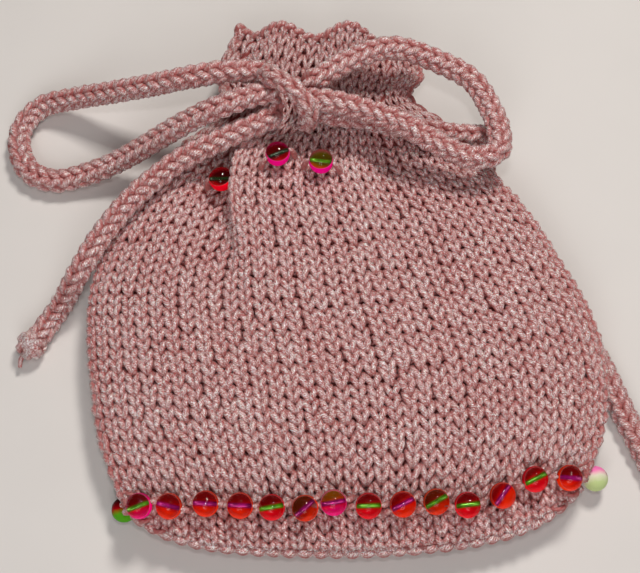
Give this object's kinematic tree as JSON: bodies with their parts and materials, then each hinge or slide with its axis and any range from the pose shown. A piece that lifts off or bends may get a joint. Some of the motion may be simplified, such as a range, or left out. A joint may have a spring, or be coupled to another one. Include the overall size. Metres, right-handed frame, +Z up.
{
  "type": "beaded drawstring bag",
  "caption": "Small knitted drawstring pouch lying on its back, gathered at the neck by a knitted cord tied in a bow, with round glass beads along its base and below the bow.",
  "frame": {"origin": "on the floor under the middle of the box round the pouch and its beads, with the cord left out", "axes": "+Y from the base to the mouth, +Z up out of the front face, +X to the right as the front is seen with the mouth up"},
  "size_m": [0.2096, 0.184, 0.0427],
  "materials": {
    "pouch_yarn": "stockinette knit in dusty pink yarn with shiny pale flecks",
    "cord_yarn": "knitted cord in the same flecked pink yarn",
    "bead_glass": "clear glass with a red, orange, magenta and green coating on one half"
  },
  "bodies": {
    "root": {"pouch": "pouch_yarn", "drawstring_neck": "cord_yarn", "bow_knot": "cord_yarn", "bow_loop_left": "cord_yarn", "bow_loop_right": "cord_yarn", "drawstring_tail_left": "cord_yarn", "drawstring_tail_right": "cord_yarn", "end_knot_left": "cord_yarn", "end_knot_right": "cord_yarn", "base_bead_01": "bead_glass", "base_bead_02": "bead_glass", "base_bead_03": "bead_glass", "base_bead_04": "bead_glass", "base_bead_05": "bead_glass", "base_bead_06": "bead_glass", "base_bead_07": "bead_glass", "base_bead_08": "bead_glass", "base_bead_09": "bead_glass", "base_bead_10": "bead_glass", "base_bead_11": "bead_glass", "base_bead_12": "bead_glass", "base_bead_13": "bead_glass", "base_bead_14": "bead_glass", "base_bead_15": "bead_glass", "base_bead_16": "bead_glass", "base_bead_17": "bead_glass", "base_bead_18": "bead_glass", "base_bead_19": "bead_glass", "base_bead_20": "bead_glass", "base_bead_21": "bead_glass", "base_bead_22": "bead_glass", "base_bead_23": "bead_glass", "base_bead_24": "bead_glass", "base_bead_25": "bead_glass", "base_bead_26": "bead_glass", "base_bead_27": "bead_glass", "base_bead_28": "bead_glass", "base_bead_29": "bead_glass", "neck_bead_1": "bead_glass", "neck_bead_2": "bead_glass", "neck_bead_3": "bead_glass"}
  },
  "joints": []
}
